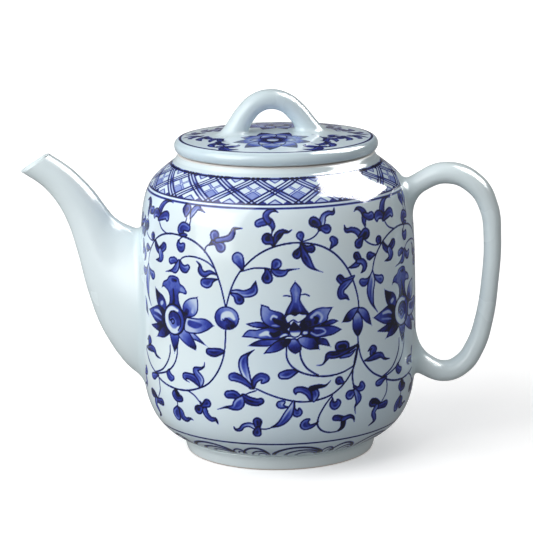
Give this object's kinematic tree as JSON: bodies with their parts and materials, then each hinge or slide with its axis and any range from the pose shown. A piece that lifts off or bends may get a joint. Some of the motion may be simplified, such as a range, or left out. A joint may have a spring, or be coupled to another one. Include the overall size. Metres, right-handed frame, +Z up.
{
  "type": "porcelain teapot",
  "caption": "Straight-sided glazed porcelain teapot with an S-shaped spout, a looped strap handle and a loose lid with a strap loop, painted with a blue lotus scroll.",
  "frame": {"origin": "middle of the bounding box's base, on the surface that the foot stands on; the pot's own axis is 7.2 mm from it towards +X", "axes": "+Z up along the pot's axis, +X from the spout towards the handle, +Y to the left of someone who holds the handle and looks at the spout"},
  "size_m": [0.2003, 0.115, 0.1516],
  "materials": {
    "painted_glaze": "glossy clear glaze over white porcelain, painted in cobalt blue with a lattice band, a lotus scroll and a wave border",
    "painted_lid_glaze": "glossy clear glaze over white porcelain, painted in cobalt blue with a lotus and leaf sprays inside a rim line",
    "plain_glaze": "glossy, faintly green-grey clear glaze over white porcelain"
  },
  "bodies": {
    "pot": {"pot_wall": "painted_glaze", "neck_ring": "plain_glaze", "foot_ring": "plain_glaze", "spout": "plain_glaze", "handle": "plain_glaze"},
    "lid": {"lid_plate": "painted_lid_glaze", "lid_collar": "plain_glaze", "lid_loop": "plain_glaze"}
  },
  "joints": [
    {"name": "lid_lift", "type": "slide", "parent": "pot", "child": "lid", "axis": [0, 0, 1], "range_m": [0, 0.08]}
  ]
}
